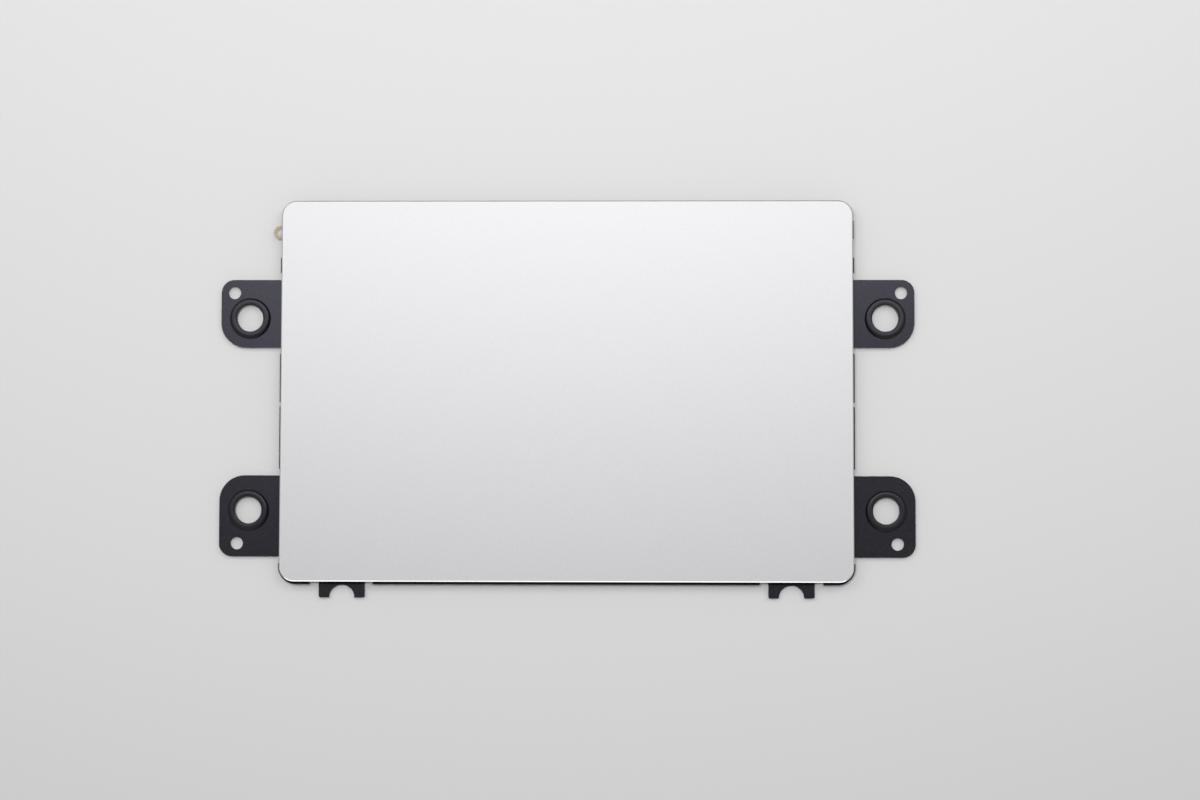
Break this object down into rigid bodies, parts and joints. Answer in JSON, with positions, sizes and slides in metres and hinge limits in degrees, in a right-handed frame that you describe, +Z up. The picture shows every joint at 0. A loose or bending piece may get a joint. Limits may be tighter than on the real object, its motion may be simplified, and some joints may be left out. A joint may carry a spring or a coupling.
{
  "type": "laptop trackpad module",
  "caption": "Laptop trackpad: satin silver touch plate that tilts on rear leaf springs in a black steel tray and clicks a dome switch, mounted by eared grommets.",
  "frame": {"origin": "middle of the module's outline, ears and forks included, on the plane its grommets stand on", "axes": "+X to the right, +Y to the rear hinge side, +Z up out of the touch surface"},
  "size_m": [0.146, 0.0834, 0.0039],
  "materials": {
    "tray_black": "satin black electro-coat on pressed steel",
    "grommet_rubber": "matt moulded rubber",
    "touch_silver": "etched glass, silver ink behind",
    "film_clear": "adhesive film",
    "board_black": "dark solder mask on glass-fibre board",
    "plate_steel": "rolled stainless sheet",
    "spring_steel": "bright spring steel",
    "rivet_steel": "plated rivet steel",
    "stop_foam": "dense foam",
    "screw_brass": "turned brass",
    "lug_gilt": "gilt tag",
    "chip_black": "moulded package",
    "capacitor_tan": "ceramic body, tinned ends",
    "resistor_dark": "glazed film, tinned ends",
    "socket_ivory": "moulded nylon",
    "contact_gold": "gold-flashed contacts",
    "tinned_metal": "dull tin plate",
    "latch_dark": "moulded nylon",
    "switch_black": "moulded housing",
    "plunger_white": "moulded plunger"
  },
  "bodies": {
    "frame": {"support_tray": "tray_black", "grommet_rear_left": "grommet_rubber", "grommet_rear_right": "grommet_rubber", "grommet_front_left": "grommet_rubber", "grommet_front_right": "grommet_rubber", "hinge_leaf_left": "spring_steel", "hinge_leaf_right": "spring_steel", "tray_rivets": "rivet_steel", "stop_pad_left": "stop_foam", "stop_pad_right": "stop_foam", "click_screw": "screw_brass"},
    "touch_plate": {"touch_glass": "touch_silver", "bonding_film": "film_clear", "sensor_board": "board_black", "stiffener_plate": "plate_steel", "leaf_rivets": "rivet_steel", "limit_pins": "rivet_steel", "ground_lug": "lug_gilt", "touch_controller": "chip_black", "memory_chip": "chip_black", "voltage_regulator": "chip_black", "capacitors": "capacitor_tan", "resistors": "resistor_dark", "cable_socket": "socket_ivory", "socket_contacts": "contact_gold", "socket_anchors": "tinned_metal", "switch_housing": "switch_black", "switch_dome": "spring_steel", "switch_cover": "tinned_metal"},
    "switch_plunger": {"switch_plunger": "plunger_white"},
    "socket_latch": {"socket_latch": "latch_dark"}
  },
  "joints": [
    {"name": "pad_tilt", "type": "hinge", "parent": "frame", "child": "touch_plate", "pos_m": [0, 0.03497, 0.00165], "axis": [1, 0, 0], "range_deg": [0, 0.2194], "stiffness_Nm_per_rad": 12, "springref_deg": -0.17, "deforming": ["hinge_leaf_left", "hinge_leaf_right"]},
    {"name": "switch_press", "type": "slide", "parent": "touch_plate", "child": "switch_plunger", "axis": [0, 0, 1], "range_m": [0, 0.00026], "deforming": ["switch_dome"]},
    {"name": "latch_flip", "type": "hinge", "parent": "touch_plate", "child": "socket_latch", "pos_m": [0.013, 0.0083, 0.00152], "axis": [-1, 0, 0], "range_deg": [0, 95]}
  ],
  "couplings": [
    {"joint": "switch_press", "follows": "pad_tilt", "m_per_rad": 0.0653}
  ]
}
